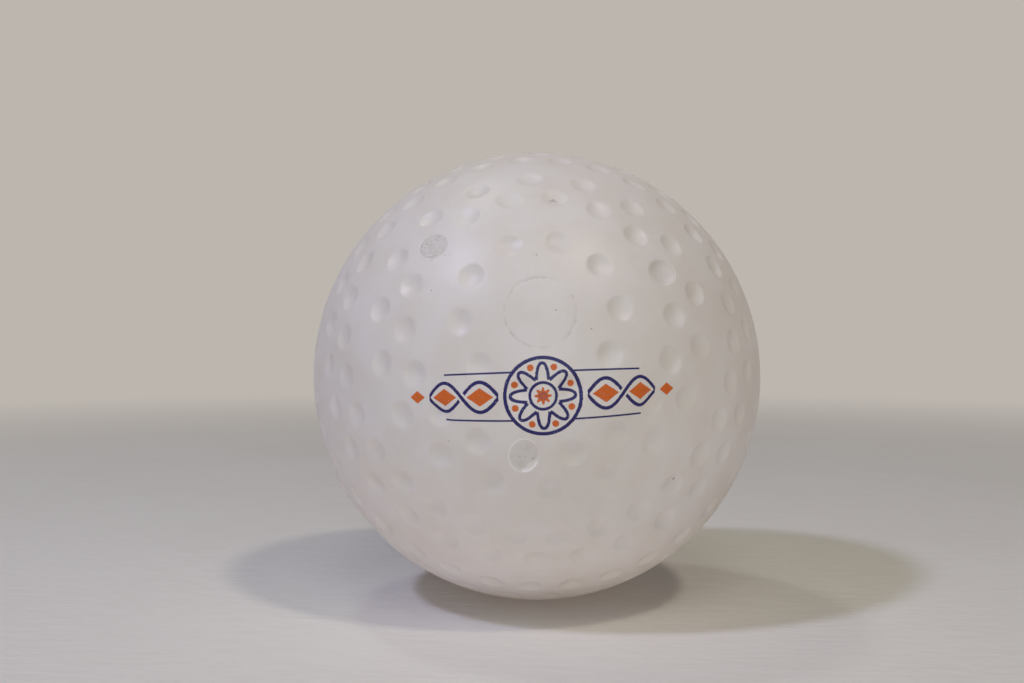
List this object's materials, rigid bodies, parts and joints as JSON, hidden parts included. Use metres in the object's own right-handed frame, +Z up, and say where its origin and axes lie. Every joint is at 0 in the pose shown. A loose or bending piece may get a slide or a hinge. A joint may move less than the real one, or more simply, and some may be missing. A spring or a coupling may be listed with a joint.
{
  "type": "field hockey ball",
  "caption": "Solid white ball for field hockey, moulded whole, with round dimples in rings about its mould axis, a fine parting line and a round insert line at its front pole.",
  "frame": {"origin": "centre of the ball", "axes": "+Z up as the ball lies, with the front pole of its mould facing -Y, tipped up by 16.1 degrees and turned 1 degree towards +X"},
  "size_m": [0.073, 0.073, 0.073],
  "materials": {
    "ball_plastic": "satin white, with a printed patch in burnt orange and navy"
  },
  "bodies": {
    "root": {"ball": "ball_plastic"}
  },
  "joints": []
}
